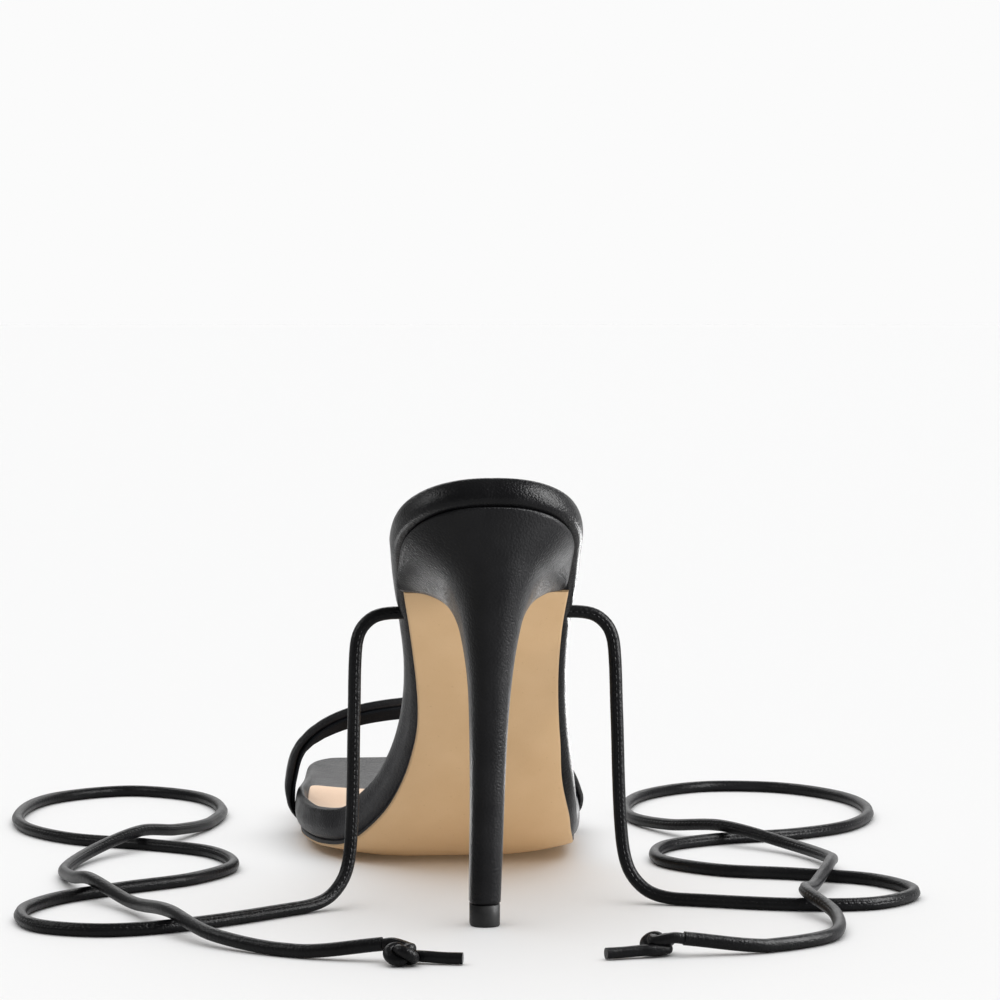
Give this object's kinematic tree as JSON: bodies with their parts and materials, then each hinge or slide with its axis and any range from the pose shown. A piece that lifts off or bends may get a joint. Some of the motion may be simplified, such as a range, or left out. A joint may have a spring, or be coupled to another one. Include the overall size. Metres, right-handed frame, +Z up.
{
  "type": "square toe stiletto sandal",
  "caption": "High stiletto sandal with a square open toe, a padded strap over the toes, a bare heel seat and long round ankle ties let down on the floor.",
  "frame": {"origin": "on the floor, under the middle of the shoe's own box, ties left out", "axes": "+Y from the heel to the toe, +X to the outer side of the foot, +Z up"},
  "size_m": [0.261, 0.2924, 0.1138],
  "materials": {
    "black_leather": "smooth black leather with a fine grain, soft sheen",
    "black_cord": "round black leather cord with a seam along it",
    "nude_sock": "nude lining leather, matte to satin",
    "tan_sole": "tan sole leather, matte",
    "tip_rubber": "dark grey wearing tip, matte"
  },
  "bodies": {
    "root": {"outsole": "tan_sole", "footbed": "black_leather", "insole_sock": "nude_sock", "heel": "black_leather", "top_piece": "tip_rubber", "toe_strap": "black_leather", "tie_medial": "black_cord", "tie_lateral": "black_cord", "knot_medial": "black_cord", "knot_lateral": "black_cord"}
  },
  "joints": []
}
